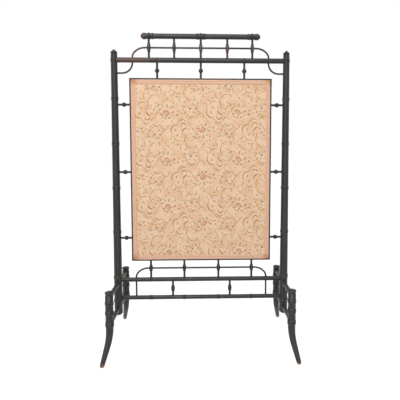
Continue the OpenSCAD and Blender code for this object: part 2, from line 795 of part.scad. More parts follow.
gallery_spindle(gallery_spindle_x[2]);  // gallery_spindle_3
gallery_spindle(gallery_spindle_x[3]);  // gallery_spindle_4
gallery_cane();
base_spindle(base_spindle_x[0]);  // base_spindle_1
base_spindle(base_spindle_x[1]);  // base_spindle_2
panel_stile(-1);  // panel_stile_left
panel_stile(1);  // panel_stile_right
panel_rail(panel_top - member_w / 2, panel_top, hanger_x);  // panel_rail_top
panel_rail(panel_z + member_w / 2, panel_z, gallery_spindle_x);  // panel_rail_bottom
tapestry();
backing_cloth();
gimp(180);  // gimp_top
gimp(0);  // gimp_bottom
gimp(90);  // gimp_left
gimp(270);  // gimp_right
leg(-1, -1);  // leg_front_left
leg(1, -1);  // leg_front_right
leg(-1, 1);  // leg_rear_left
leg(1, 1);  // leg_rear_right
stretcher(-1, -1, stretcher_high);  // stretcher_front_left_upper
stretcher(-1, -1, stretcher_low);  // stretcher_front_left_lower
stretcher(1, -1, stretcher_high);  // stretcher_front_right_upper
stretcher(1, -1, stretcher_low);  // stretcher_front_right_lower
stretcher(-1, 1, stretcher_high);  // stretcher_rear_left_upper
stretcher(-1, 1, stretcher_low);  // stretcher_rear_left_lower
stretcher(1, 1, stretcher_high);  // stretcher_rear_right_upper
stretcher(1, 1, stretcher_low);  // stretcher_rear_right_lower
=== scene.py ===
"""Looks for a faux bamboo cheval fire screen: ebonised turned wood, a woven tapestry panel, gimp braid and a
plain linen back, in a plain pale studio.

All places are in metres, in the part's own frame: +X right, -Y front, +Z up.
"""

import math

import bmesh
import bpy
from bpy.props import FloatProperty, FloatVectorProperty, PointerProperty
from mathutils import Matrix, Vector


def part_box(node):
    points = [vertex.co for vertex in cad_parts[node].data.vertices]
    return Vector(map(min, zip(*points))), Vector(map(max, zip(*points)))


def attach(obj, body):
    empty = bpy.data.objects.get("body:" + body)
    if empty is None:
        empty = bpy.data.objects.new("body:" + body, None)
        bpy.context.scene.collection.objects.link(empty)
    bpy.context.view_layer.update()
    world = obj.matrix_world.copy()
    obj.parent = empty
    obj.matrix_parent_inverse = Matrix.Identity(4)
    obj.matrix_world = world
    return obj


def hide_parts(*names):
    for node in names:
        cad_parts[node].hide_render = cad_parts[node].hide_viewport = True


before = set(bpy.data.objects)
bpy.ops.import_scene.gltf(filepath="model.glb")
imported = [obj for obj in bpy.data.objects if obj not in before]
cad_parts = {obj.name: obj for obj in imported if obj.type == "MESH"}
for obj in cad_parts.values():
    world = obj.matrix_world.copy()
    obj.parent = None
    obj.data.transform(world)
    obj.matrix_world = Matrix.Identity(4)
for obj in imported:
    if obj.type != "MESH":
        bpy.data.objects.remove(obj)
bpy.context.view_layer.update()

bl_info = {
    "name": "Faux bamboo fire screen",
    "version": (1, 0, 0),
    "blender": (4, 5, 0),
    "location": "View3D > Sidebar > Fire Screen",
    "description": "Finishes a fire screen: ebonised wood, tapestry, gimp braid and backing cloth",
    "category": "Object",
}

MM = 0.001


def linear(red, green, blue):
    """A colour as it looks on a screen, from 0 to 255, as the linear values that shaders take."""
    parts = []
    for value in (red, green, blue):
        share = value / 255
        parts.append(share / 12.92 if share <= 0.04045 else ((share + 0.055) / 1.055) ** 2.4)
    return tuple(parts)


def middle(node):
    low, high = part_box(node)
    return (low + high) / 2


POST_X = middle("post_right").x
CREST_CANE_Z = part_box("crest_cane")[1].z - 3 * MM

# Radius of a post's shaft on the floor, and how much it loses for each metre up
SHAFT_RADIUS = 14.76 * MM
SHAFT_TAPER = 3.93 * MM

# The lens in millimetres, and the shift of the picture's middle on the sensor as shares of its width
LENS = 36.0
SHIFT = (-0.0415, -0.0436)


class EbonisedWood(bpy.types.PropertyGroup):
    """Black stained and polished hardwood."""

    stain: FloatVectorProperty(
        name="Stain", description="Colour of the black stain", subtype="COLOR",
        default=linear(30, 30, 30),
    )
    streak: FloatVectorProperty(
        name="Streak", description="Paler streaks along the grain", subtype="COLOR",
        default=linear(52, 49, 46),
    )
    # The rub colour is worn stain; on the beads of the posts it is also painted highlight.
    rub: FloatVectorProperty(
        name="Rub", description="Wood that shows where the stain is rubbed", subtype="COLOR",
        default=linear(98, 72, 60),
    )
    bare: FloatVectorProperty(
        name="Bare", description="Bare wood at worn tips and edges", subtype="COLOR",
        default=linear(168, 118, 82),
    )
    polish: FloatProperty(
        name="Polish", description="Roughness of the polished surface", default=0.3, min=0.0, max=1.0
    )


class TapestryCloth(bpy.types.PropertyGroup):
    """Machine-woven cloth with scrolls and small flowers."""

    ground: FloatVectorProperty(
        name="Ground", description="Colour of the ground", subtype="COLOR",
        default=linear(231, 199, 167),
    )
    ground_warm: FloatVectorProperty(
        name="Warm ground", description="Warmer patches of the ground", subtype="COLOR",
        default=linear(226, 186, 150),
    )
    scroll: FloatVectorProperty(
        name="Scrolls", description="Colour of the scrolls", subtype="COLOR",
        default=linear(148, 108, 62),
    )
    olive: FloatVectorProperty(
        name="Olive leaves", description="Colour of the olive leaves", subtype="COLOR",
        default=linear(156, 136, 78),
    )
    grey: FloatVectorProperty(
        name="Grey leaves", description="Colour of the grey-green leaves", subtype="COLOR",
        default=linear(128, 122, 92),
    )
    dark: FloatVectorProperty(
        name="Dark dots", description="Colour of the darkest dots", subtype="COLOR",
        default=linear(98, 76, 60),
    )
    rose: FloatVectorProperty(
        name="Roses", description="Colour of the roses", subtype="COLOR", default=linear(176, 102, 74)
    )
    mauve: FloatVectorProperty(
        name="Mauve petals", description="Colour of the mauve petals", subtype="COLOR",
        default=linear(166, 132, 122),
    )
    thread: FloatProperty(
        name="Thread", description="Distance between threads", subtype="DISTANCE", unit="LENGTH",
        default=0.8 * MM,
    )
    turn: FloatProperty(
        name="Turn", description="Turn of the cloth on the panel", subtype="ANGLE", unit="ROTATION",
        default=math.radians(0.72),
    )


class GimpBraid(bpy.types.PropertyGroup):
    """Woven braid with two cords, glued over the edge of the cloth."""

    cord: FloatVectorProperty(
        name="Cords", description="Colour of the two cords", subtype="COLOR",
        default=linear(232, 198, 170),
    )
    edge: FloatVectorProperty(
        name="Edges", description="Colour of the braid's edges", subtype="COLOR",
        default=linear(218, 164, 136),
    )
    stain: FloatVectorProperty(
        name="Stain", description="Glue stain at the corners", subtype="COLOR",
        default=linear(190, 126, 76),
    )
    loop: FloatProperty(
        name="Loop", description="Length of one twist of a cord", subtype="DISTANCE", unit="LENGTH",
        default=3.4 * MM,
    )


class PanelBack(bpy.types.PropertyGroup):
    """Plain linen on the back of the panel."""

    linen: FloatVectorProperty(
        name="Linen", description="Colour of the linen", subtype="COLOR", default=linear(184, 168, 138)
    )
    thread: FloatProperty(
        name="Thread", description="Distance between threads", subtype="DISTANCE", unit="LENGTH",
        default=0.9 * MM,
    )


class Studio(bpy.types.PropertyGroup):
    """Floor, lights and camera."""

    ambient: FloatProperty(name="Ambient", description="Light from all round", default=0.42, min=0.0)
    key: FloatProperty(
        name="Key", description="Power of the soft light above the front", unit="POWER", default=46.0
    )
    strip: FloatProperty(
        name="Strip", description="Power of the narrow light in front", unit="POWER", default=9.0
    )
    floor_width: FloatProperty(
        name="Floor", description="Width of the floor", subtype="DISTANCE", unit="LENGTH", default=12.0
    )
    camera_place: FloatVectorProperty(
        name="Camera", description="Place of the camera", subtype="TRANSLATION", unit="LENGTH",
        default=(0.0069207, -1.380729, 0.663194),
    )
    camera_down: FloatProperty(
        name="Camera down", description="How far the camera looks down", subtype="ANGLE", unit="ROTATION",
        default=0.0755788,
    )
    camera_right: FloatProperty(
        name="Camera right",
        description="How far the camera looks to the right",
        subtype="ANGLE",
        unit="ROTATION",
        default=0.0336964,
    )


SETTINGS = {
    "screen_wood": EbonisedWood,
    "screen_tapestry": TapestryCloth,
    "screen_braid": GimpBraid,
    "screen_back": PanelBack,
    "screen_studio": Studio,
}


class Bench:
    """Lays out shader nodes in one tree and joins them."""

    def __init__(self, tree):
        self.tree = tree
        self.count = 0

    def add(self, kind, **settings):
        node = self.tree.nodes.new(kind)
        node.location = (180 * (self.count % 12), -220 * (self.count // 12))
        self.count += 1
        for name, value in settings.items():
            setattr(node, name, value)
        return node

    def plug(self, socket, source):
        if isinstance(source, bpy.types.NodeSocket):
            self.tree.links.new(source, socket)
        elif source is not None:
            socket.default_value = source

    def math(self, operation, *sources, clamp=False):
        node = self.add("ShaderNodeMath", operation=operation, use_clamp=clamp)
        for socket, source in zip(node.inputs, sources):
            self.plug(socket, source)
        return node.outputs[0]

    def vector(self, operation, *sources):
        node = self.add("ShaderNodeVectorMath", operation=operation)
        for socket, source in zip(node.inputs, sources):
            self.plug(socket, source)
        return node.outputs["Value" if operation in {"LENGTH", "DOT_PRODUCT"} else "Vector"]

    def parts(self, vector):
        node = self.add("ShaderNodeSeparateXYZ")
        self.plug(node.inputs[0], vector)
        return node.outputs

    def joined(self, x=0.0, y=0.0, z=0.0):
        node = self.add("ShaderNodeCombineXYZ")
        for socket, source in zip(node.inputs, (x, y, z)):
            self.plug(socket, source)
        return node.outputs[0]

    def mix(self, factor, first, second):
        node = self.add("ShaderNodeMix", data_type="RGBA")
        for socket, source in zip((node.inputs[0], node.inputs[6], node.inputs[7]), (factor, first, second)):
            self.plug(socket, source)
        return node.outputs[2]

    def blend(self, factor, first, second):
        node = self.add("ShaderNodeMix", data_type="FLOAT")
        for socket, source in zip(node.inputs[:1] + node.inputs[2:4], (factor, first, second)):
            self.plug(socket, source)
        return node.outputs[0]

    def span(self, value, low, high, to_low=0.0, to_high=1.0):
        node = self.add("ShaderNodeMapRange", interpolation_type="SMOOTHSTEP")
        for socket, source in zip(node.inputs, (value, low, high, to_low, to_high)):
            self.plug(socket, source)
        return node.outputs[0]

    def noise(self, place, scale, detail=2.0, roughness=0.5):
        node = self.add("ShaderNodeTexNoise")
        self.plug(node.inputs["Vector"], place)
        self.plug(node.inputs["Scale"], scale)
        self.plug(node.inputs["Detail"], detail)
        self.plug(node.inputs["Roughness"], roughness)
        return node.outputs["Fac"]

    def group(self, tree, **sources):
        node = self.add("ShaderNodeGroup", node_tree=tree)
        for name, source in sources.items():
            self.plug(node.inputs[name.replace("_", " ").capitalize()], source)
        return node.outputs


def shader_group(name, inputs, outputs):
    """A new node group. inputs and outputs map a socket's name to its default value: a number or a triple."""
    tree = bpy.data.node_groups.new(name, "ShaderNodeTree")
    for way, sockets in (("INPUT", inputs), ("OUTPUT", outputs)):
        for label, value in sockets.items():
            if isinstance(value, (int, float)):
                kind = "NodeSocketFloat"
            else:
                kind = "NodeSocketColor" if len(value) == 4 else "NodeSocketVector"
            socket = tree.interface.new_socket(name=label, in_out=way, socket_type=kind)
            if way == "INPUT":
                socket.default_value = value
    bench = Bench(tree)
    return bench, bench.add("NodeGroupInput").outputs, bench.add("NodeGroupOutput").inputs


def opaque(colour):
    return (*colour, 1.0)


def new_material(name):
    """An empty material: its bench, its Principled shader and its object coordinates."""
    material = bpy.data.materials.new(name)
    material.use_nodes = True
    tree = material.node_tree
    tree.nodes.clear()
    bench = Bench(tree)
    shader = bench.add("ShaderNodeBsdfPrincipled")
    output = bench.add("ShaderNodeOutputMaterial")
    tree.links.new(shader.outputs[0], output.inputs["Surface"])
    place = bench.add("ShaderNodeTexCoord").outputs["Object"]
    return material, bench, shader, place


def bump(bench, shader, height, distance, strength=1.0):
    node = bench.add("ShaderNodeBump")
    node.inputs["Strength"].default_value = strength
    node.inputs["Distance"].default_value = distance
    bench.plug(node.inputs["Height"], height)
    bench.plug(shader.inputs["Normal"], node.outputs[0])


def stained_wood_group():
    """Stained wood: grain along the piece, patches of dull polish, and red-brown rubbed places. On the beads
    of the posts the rubbed places are worn stain and also painted highlight.
    """
    wood = bpy.context.scene.screen_wood
    bench, inputs, outputs = shader_group(
        "stained_wood",
        {"Place": (0.0, 0.0, 0.0), "Stretch": (1.0, 1.0, 1.0), "Rub": 0.0, "Edge": 0.0, "Bare": 0.0},
        {"Colour": opaque(wood.stain), "Roughness": 0.0, "Height": 0.0},
    )
    along = bench.vector("MULTIPLY", inputs["Place"], inputs["Stretch"])
    grain = bench.noise(along, 1.0, 3.0, 0.6)
    patch = bench.noise(inputs["Place"], 16.0, 3.0, 0.6)
    speck = bench.noise(inputs["Place"], 170.0, 2.0, 0.6)
    colour = bench.mix(bench.span(grain, 0.45, 0.72), opaque(wood.stain), opaque(wood.streak))
    worn = bench.math("ADD", bench.math("MULTIPLY", patch, 0.7), bench.math("MULTIPLY", grain, 0.3))
    # Edge widens the rubbed places. On the posts it marks the beads, where the red-brown is worn stain and
    # also painted highlight.
    limit = bench.math("SUBTRACT", 0.72, bench.math("MULTIPLY", inputs["Rub"], 0.32))
    limit = bench.math("SUBTRACT", limit, bench.math("MULTIPLY", inputs["Edge"], 0.16))
    rubbed = bench.span(worn, limit, bench.math("ADD", limit, 0.1))
    colour = bench.mix(bench.math("MULTIPLY", rubbed, 0.75), colour, opaque(wood.rub))
    bare = bench.math("MULTIPLY", inputs["Bare"], bench.span(speck, 0.3, 0.55), clamp=True)
    colour = bench.mix(bare, colour, opaque(wood.bare))
    rough = bench.math("ADD", wood.polish, bench.math("MULTIPLY", bench.span(patch, 0.35, 0.7), 0.16))
    rough = bench.math("ADD", rough, bench.math("MULTIPLY", rubbed, 0.1))
    height = bench.math("ADD", bench.math("MULTIPLY", grain, 0.7), bench.math("MULTIPLY", speck, 0.3))
    bench.plug(outputs["Colour"], colour)
    bench.plug(outputs["Roughness"], rough)
    bench.plug(outputs["Height"], height)
    return bench.tree


def wood_material(name, group, along, rub, edge=None, bare=None):
    """Ebonised wood with its grain along one axis. edge and bare make masks from the bench and the place."""
    material, bench, shader, place = new_material(name)
    stretch = [420.0, 420.0, 420.0]
    stretch["XYZ".index(along)] = 14.0
    made = bench.group(
        group,
        place=place,
        stretch=stretch,
        rub=rub,
        edge=edge(bench, place) if edge else 0.0,
        bare=bare(bench, place) if bare else 0.0,
    )
    shader.inputs["Specular IOR Level"].default_value = 0.42
    bench.plug(shader.inputs["Base Color"], made["Colour"])
    bench.plug(shader.inputs["Roughness"], made["Roughness"])
    bump(bench, shader, made["Height"], 0.12 * MM, 0.5)
    return material


def post_bead_wear_and_highlight(bench, place):
    """Mask of the beads and the finial of a post, which stand out from its tapered shaft. The stain is rubbed
    more there, which is worn stain and also painted highlight on the beads.
    """
    parts = bench.parts(place)
    across = bench.math("SUBTRACT", bench.math("ABSOLUTE", parts["X"]), POST_X)
    squares = bench.math("ADD", bench.math("POWER", across, 2.0), bench.math("POWER", parts["Y"], 2.0))
    radius = bench.math("SQRT", squares)
    shaft = bench.math("MULTIPLY_ADD", parts["Z"], -SHAFT_TAPER, SHAFT_RADIUS)
    return bench.span(bench.math("SUBTRACT", radius, shaft), 0.9 * MM, 1.5 * MM)


def bead_edge(bench, place):
    """Mask of the long beads of the crest spindles."""
    away = bench.math("ABSOLUTE", bench.math("SUBTRACT", bench.parts(place)["Z"], CREST_CANE_Z))
    return bench.span(away, 15 * MM, 9 * MM)


def rail_top(bench, place):
    """Mask of the worn left half of the top rail."""
    return bench.span(bench.parts(place)["X"], -0.06, -0.2)


def foot_bare(bench, place):
    """Mask of the bare wood at the tips of the feet."""
    return bench.span(bench.parts(place)["Z"], 14 * MM, 3 * MM)


class FIRESCREEN_OT_wood(bpy.types.Operator):
    """Give the turned pieces, the canes and the panel's frame their ebonised finish"""

    bl_idname = "firescreen.wood"
    bl_label = "Finish Ebonised Wood"

    def execute(self, context):
        group = stained_wood_group()
        upright = wood_material("ebonised_upright", group, "Z", 0.2)
        level = wood_material("ebonised_level", group, "X", 0.25)
        # The posts' beads get more rubbed stain, which is worn stain and also painted highlight on the beads.
        post = wood_material("ebonised_post_bead_wear_and_highlight", group, "Z", 0.2, edge=post_bead_wear_and_highlight)
        depth = wood_material("ebonised_stretcher", group, "Y", 0.2)
        worn_rail = wood_material("worn_rail", group, "X", 0.45, edge=rail_top)
        worn_spindle = wood_material("worn_spindle", group, "Z", 0.5, edge=bead_edge)
        leg = wood_material("ebonised_leg", group, "Z", 0.3, bare=foot_bare)
        finishes = (
            ("crest_spindle", worn_spindle),
            ("top_rail", worn_rail),
            ("crest_cane", worn_rail),
            ("crest_rail", worn_rail),
            ("post_", post),
            ("stretcher_", depth),
            ("leg_", leg),
            ("mid_rail", level),
            ("base_rail", level),
            ("gallery_cane", level),
            ("panel_rail", level),
            ("side_spindle", level),
            ("", upright),
        )
        cloth = ("tapestry", "backing_cloth", "gimp_")
        for name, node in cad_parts.items():
            if name.startswith(cloth):
                continue
            finish = next(made for start, made in finishes if name.startswith(start))
            for slot in node.material_slots:
                slot.material = finish
        return {"FINISHED"}


def object_from(name, mesh_maker, material):
    """An object at the origin with the mesh of a filled bmesh."""
    mesh = bpy.data.meshes.new(name)
    mesh_maker.to_mesh(mesh)
    mesh_maker.free()
    made = bpy.data.objects.new(name, mesh)
    bpy.context.scene.collection.objects.link(made)
    made.data.materials.append(material)
    return made


class FIRESCREEN_OT_legs(bpy.types.Operator):
    """Put smooth copies of the legs, with their round sabre feet, in place of the legs"""

    bl_idname = "firescreen.legs"
    bl_label = "Smooth the Legs"

    def execute(self, context):
        for name in sorted(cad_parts):
            if not name.startswith("leg_"):
                continue
            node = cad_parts[name]
            shape = bmesh.new()
            shape.from_mesh(node.data)
            bmesh.ops.remove_doubles(shape, verts=shape.verts, dist=0.01 * MM)
            for face in shape.faces:
                face.smooth = True
            leg = object_from(f"turned_{name}", shape, node.material_slots[0].material)
            leg.data.set_sharp_from_angle(angle=math.radians(40))
            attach(leg, "root")
            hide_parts(name)
        return {"FINISHED"}


# The woven pattern repeats over half of PATTERN_W and the whole of PATTERN_H, and every second column is
# turned over.
# Its places are in millimetres, right and down from the top left of one column.
PATTERN_W = 243.0
PATTERN_H = 160.0
PATTERN_FLIP = 155.75
PATTERN_START = Vector((-110.0, 766.0))
PANEL_MIDDLE_Z = middle("tapestry").z * 1000

# How far the weave shifts the pattern's edges and the width of a scroll's soft edge, both in millimetres
WOBBLE = 3.2
SOFT_EDGE = 1.1

# How fast a petal fills in from its edge
PETAL_FIRMNESS = 1.6

# Windows on the repeat, by where a column and a row start, so that no shape is cut at an edge
WINDOWS = {"A0": (0.0, 0.0), "A8": (0.0, 80.0), "C0": (-60.75, 0.0), "C8": (-60.75, 80.0)}

# Scrolls: window, centre, radius, from and to angle (degrees, anticlockwise from the right), width, strength
SCROLLS = (
    ("A0", 28, 29, 18.5, 50, 235, 4.4, 0.85),
    ("A0", 37, 20, 6.5, -50, 75, 3.0, 0.5),
    ("A0", 31.5, 27, 6, 120, 235, 4.4, 0.9),
    ("A0", 36, 49, 15.5, 170, 322, 3.8, 0.75),
    ("A0", 45.5, 59.5, 11, -62, 65, 4.0, 0.85),
    ("A0", 55.5, 86, 15.2, 112, 222, 3.6, 0.7),
    ("C0", 2.5, 49, 10, -115, 55, 3.4, 0.7),
    ("C0", 12, 20, 12, 80, 190, 3.4, 0.45),
    ("A0", 53, 12, 8, -30, 215, 4.2, 1.0),
    ("A8", 51, 3, 11, 10, 205, 3.6, 0.8),
    ("A8", 84, -1, 17, 168, 247, 3.6, 0.7),
    ("A0", 66, 33, 20, -14, 60, 3.6, 0.7),
    ("A8", 82, -5, 13, 12, 190, 4.0, 0.85),
    ("A8", 76, -4.5, 8, 20, 100, 3.6, 0.7),
    ("A0", 64, 36, 16, 80, 186, 4.6, 1.0),
    ("A0", 70, 42, 13, 145, 275, 4.0, 0.75),
    ("A0", 74, 36, 12, 75, 155, 3.6, 0.7),
    ("A0", 60, 52, 11, 28, 84, 3.6, 0.6),
    ("A0", 82, 34, 8.5, 180, 250, 4.0, 0.8),
    ("A0", 76, 71, 16.5, 158, 305, 3.8, 0.75),
    ("A0", 86, 81, 7, -110, 55, 3.8, 0.85),
    ("A0", 104, 82, 10, 202, 295, 2.8, 0.5),
    ("A0", 109.5, 87, 4.5, -80, 85, 3.4, 0.7),
    ("A0", 106, 104, 7, 75, 255, 3.6, 0.75),
    ("A0", 109.5, 120, 8, 108, 305, 3.6, 0.75),
    ("A0", 112, 102, 8, 25, 92, 2.8, 0.5),
    ("C8", -10.5, 9.75, 14, 162, 332, 3.8, 0.65),
    ("C8", -7.5, 12.75, 6.5, -66, 46, 3.6, 0.7),
    ("A0", 104, 139, 6, 190, 255, 2.8, 0.5),
    ("A0", 46, 136, 4.5, -30, 170, 3.2, 0.7),
)

# Petals and leaves: window, centre, direction in degrees, length, width, strength
PETALS = {
    "scroll": (
        ("A0", 31, 45, -50, 9, 5, 0.7),
        ("A0", 20, 67, 90, 8, 5, 0.8),
        ("A0", 13, 71, -40, 9, 4, 0.5),
        ("A0", 18, 79, 40, 7, 4, 0.4),
        ("A0", 41, 150, -20, 8, 4, 0.7),
        ("A0", 48, 147, 20, 8, 4, 0.6),
        ("A0", 36, 155.5, 80, 7, 5, 0.7),
        ("A0", 68, 79, 20, 8, 3, 0.5),
        ("A0", 80, 81, 30, 7, 3, 0.3),
        ("A0", 47, 48, -10, 7, 4, 0.6),
        ("A0", 110, 66, 30, 12, 5, 0.4),
        ("C0", 0.5, 82.75, 70, 10, 6, 0.5),
        ("C0", -1.5, 105.75, 80, 18, 7, 0.55),
        ("A0", 78, 10, 0, 8, 4, 0.4),
        ("A0", 85, 127, 35, 10, 4, 0.45),
    ),
    "olive": (
        ("A0", 33, 4, 0, 7, 6, 0.7),
        ("A0", 33, 75, -10, 15, 4.5, 0.7),
        ("A0", 32, 80, 40, 7, 3, 0.4),
        ("A0", 104, 13, -45, 9, 5, 0.8),
        ("A0", 83, 48, 0, 10, 5, 0.7),
        ("A0", 102, 55, -60, 9, 5, 0.8),
        ("A0", 107, 49, -40, 8, 5, 0.8),
        ("A0", 19, 95, 80, 10, 5, 0.6),
    ),
    "grey": (
        ("A0", 49, 41, -60, 10, 6, 0.5),
        ("A0", 98, 22, 100, 11, 5, 0.6),
        ("A0", 93, 30, -60, 11, 4.5, 0.6),
        ("A0", 92, 52, -60, 11, 5, 0.9),
        ("A0", 88, 57, 40, 10, 4, 0.6),
        ("A0", 80, 62, 60, 9, 4, 0.5),
        ("A0", 92, 39, 0, 9, 4, 0.5),
        ("A0", 59, 92, 60, 10, 6, 0.6),
        ("A0", 46, 107, 10, 7, 4, 0.6),
        ("A0", 56, 108, -30, 14, 9, 0.5),
        ("A0", 53, 117, -45, 13, 6, 0.55),
        ("A0", 68, 109, -50, 12, 5, 0.5),
        ("A0", 85, 97, 100, 8, 4, 0.5),
        ("A0", 91, 104, 90, 10, 4, 0.6),
        ("A0", 63, 143, 40, 10, 5, 0.6),
        ("A0", 70, 138, 35, 10, 5, 0.6),
        ("A0", 10, 90, 10, 9, 6, 0.5),
        ("A0", 33, 99, 60, 8, 6, 0.35),
        ("A0", 19, 107, 30, 9, 6, 0.6),
        ("C0", 10, 111, 30, 10, 6, 0.5),
        ("A0", 12, 130, 60, 10, 6, 0.55),
        ("A0", 35, 124, 15, 11, 6, 0.5),
        ("A0", 20, 138, 5, 15, 6, 0.35),
        ("C0", 14, 156, 35, 12, 4, 0.4),
        ("A0", 34, 42, 20, 14, 4, 0.4),
    ),
    "dark": (
        ("A0", 114, 10, 60, 7, 6, 0.8),
        ("C0", -3.5, 137.75, 10, 9, 5, 0.8),
        ("A0", 76, 116, 0, 9, 6, 0.9),
        ("A0", 95, 114, 60, 8, 7, 0.8),
        ("A0", 32, 136, -45, 11, 5, 0.8),
        ("C0", 5.5, 145.75, 0, 8, 6, 0.8),
        ("A0", 105, 160, 20, 8, 5, 0.6),
    ),
    "rose": (
        ("C0", -6.5, 130, 0, 13, 11, 0.45),
        ("A0", 103, 21.5, -20, 12, 5, 0.8),
        ("C0", 2.5, 131.75, 60, 8, 8, 0.85),
        ("A0", 60, 128, 60, 12, 8, 0.6),
        ("A0", 72, 126, -50, 10, 5, 0.6),
        ("A0", 92, 130, 60, 8, 6, 0.5),
        ("A0", 19, 126, 70, 9, 7, 0.9),
        ("A0", 65, 135, -50, 8, 4, 0.5),
    ),
    "mauve": (
        ("A0", 98, 40, -35, 16, 7, 0.6),
        ("A0", 86, 104, 45, 11, 6, 0.7),
        ("A0", 78, 102, -40, 10, 4, 0.5),
        ("A0", 118, 77, 30, 7, 5, 0.7),
        ("A0", 76, 110, 0, 14, 10, 0.35),
    ),
}
ROSE_RING = ("C0", -6.5, 130.5, 9, -14, 194, 5.0, 0.9)


def window_group():
    """The place in one column of the repeat, turned over in every second column."""
    bench, inputs, outputs = shader_group(
        "pattern_window", {"Place": (0.0, 0.0, 0.0), "Start": (0.0, 0.0, 0.0)}, {"X": 0.0, "Y": 0.0}
    )
    column_w = PATTERN_W / 2
    place = bench.parts(inputs["Place"])
    start = bench.parts(inputs["Start"])
    right = bench.math("SUBTRACT", place["X"], start["X"])
    column = bench.math("FLOOR", bench.math("DIVIDE", right, column_w))
    x = bench.math("MULTIPLY_ADD", column, -column_w, place["X"])
    odd = bench.math("WRAP", column, 2.0, 0.0)
    turned = bench.math("MULTIPLY_ADD", place["Y"], -2.0, -PATTERN_FLIP)
    y = bench.math("MULTIPLY_ADD", odd, turned, place["Y"])
    low = bench.math("SUBTRACT", start["Y"], PATTERN_H)
    bench.plug(outputs["X"], x)
    bench.plug(outputs["Y"], bench.math("WRAP", y, start["Y"], low))
    return bench.tree


# A clamped maths node or a vector maths node in the two groups below would be worked out last. A hundred
# masks would then wait for theirs at once, which is more than the renderer can hold.


def stroke_group():
    """Mask of an arc, thickest in the middle and running out at both ends. It is below 0 outside the arc."""
    bench, inputs, outputs = shader_group(
        "scroll_stroke",
        {
            "X": 0.0, "Y": 0.0, "Centre x": 0.0, "Centre y": 0.0, "Radius": 10.0, "Middle": 0.0, "Sweep": 1.0,
            "Width": 3.0,
        },
        {"Mask": 0.0},
    )
    right = bench.math("SUBTRACT", inputs["X"], inputs["Centre x"])
    up = bench.math("SUBTRACT", inputs["Y"], inputs["Centre y"])
    away = bench.math("SQRT", bench.math("MULTIPLY_ADD", right, right, bench.math("MULTIPLY", up, up)))
    off = bench.math("ABSOLUTE", bench.math("SUBTRACT", away, inputs["Radius"]))
    angle = bench.math("SUBTRACT", bench.math("ARCTAN2", up, right), inputs["Middle"])
    along = bench.math("ABSOLUTE", bench.math("WRAP", angle, math.pi, -math.pi))
    along = bench.math("DIVIDE", along, inputs["Sweep"])
    taper = bench.math("SUBTRACT", 1.0, bench.math("POWER", along, 3.0))
    half = bench.math("MULTIPLY", bench.math("MULTIPLY", taper, inputs["Width"]), 0.5)
    inside = bench.math("DIVIDE", bench.math("SUBTRACT", half, off), SOFT_EDGE)
    bench.plug(outputs["Mask"], bench.math("MINIMUM", inside, 1.0))
    return bench.tree


def petal_group():
    """Mask of an oval petal or leaf. It is below 0 outside it."""
    bench, inputs, outputs = shader_group(
        "petal",
        {
            "X": 0.0, "Y": 0.0, "Centre x": 0.0, "Centre y": 0.0, "Cosine": 1.0, "Sine": 0.0, "Length": 8.0,
            "Width": 4.0,
        },
        {"Mask": 0.0},
    )
    right = bench.math("SUBTRACT", inputs["X"], inputs["Centre x"])
    up = bench.math("SUBTRACT", inputs["Y"], inputs["Centre y"])
    along = bench.math("MULTIPLY_ADD", right, inputs["Cosine"], bench.math("MULTIPLY", up, inputs["Sine"]))
    across = bench.math("MULTIPLY", up, inputs["Cosine"])
    across = bench.math("SUBTRACT", across, bench.math("MULTIPLY", right, inputs["Sine"]))
    long_share = bench.math("DIVIDE", along, inputs["Length"])
    wide_share = bench.math("DIVIDE", across, inputs["Width"])
    wide_share = bench.math("MULTIPLY", wide_share, wide_share)
    share = bench.math("MULTIPLY_ADD", long_share, long_share, wide_share)
    inside = bench.math("MULTIPLY_ADD", share, -4 * PETAL_FIRMNESS, PETAL_FIRMNESS)
    bench.plug(outputs["Mask"], bench.math("MINIMUM", inside, 1.0))
    return bench.tree


def woven_pattern_group():
    """Masks of the scrolls, leaves and flowers, from a place on the cloth in millimetres."""
    names = list(PETALS)
    bench, inputs, outputs = shader_group(
        "woven_pattern", {"Place": (0.0, 0.0, 0.0)}, {name.capitalize(): 0.0 for name in names}
    )
    window, stroke, petal = window_group(), stroke_group(), petal_group()
    places = {
        name: bench.group(window, place=inputs["Place"], start=(*start, 0.0))
        for name, start in WINDOWS.items()
    }

    def stroke_mask(where, x, y, radius, start, end, width, strength):
        mask = bench.group(
            stroke,
            x=places[where]["X"],
            y=places[where]["Y"],
            centre_x=x,
            centre_y=-y,
            radius=radius,
            middle=math.radians((start + end) / 2),
            sweep=math.radians((end - start) / 2),
            width=width,
        )["Mask"]
        return bench.math("MULTIPLY", mask, strength)

    def petal_mask(where, x, y, way, length, width, strength):
        turn = math.radians(way)
        mask = bench.group(
            petal,
            x=places[where]["X"],
            y=places[where]["Y"],
            centre_x=x,
            centre_y=-y,
            cosine=math.cos(turn),
            sine=math.sin(turn),
            length=length,
            width=width,
        )["Mask"]
        return bench.math("MULTIPLY", mask, strength)

    for name in names:
        shapes = [(petal_mask, row) for row in PETALS[name]]
        if name == "scroll":
            shapes += [(stroke_mask, row) for row in SCROLLS]
        if name == "rose":
            shapes.append((stroke_mask, ROSE_RING))
        most = 0.0
        for draw, row in shapes:
            most = bench.math("MAXIMUM", most, draw(*row))
        bench.plug(outputs[name.capitalize()], most)
    return bench.tree


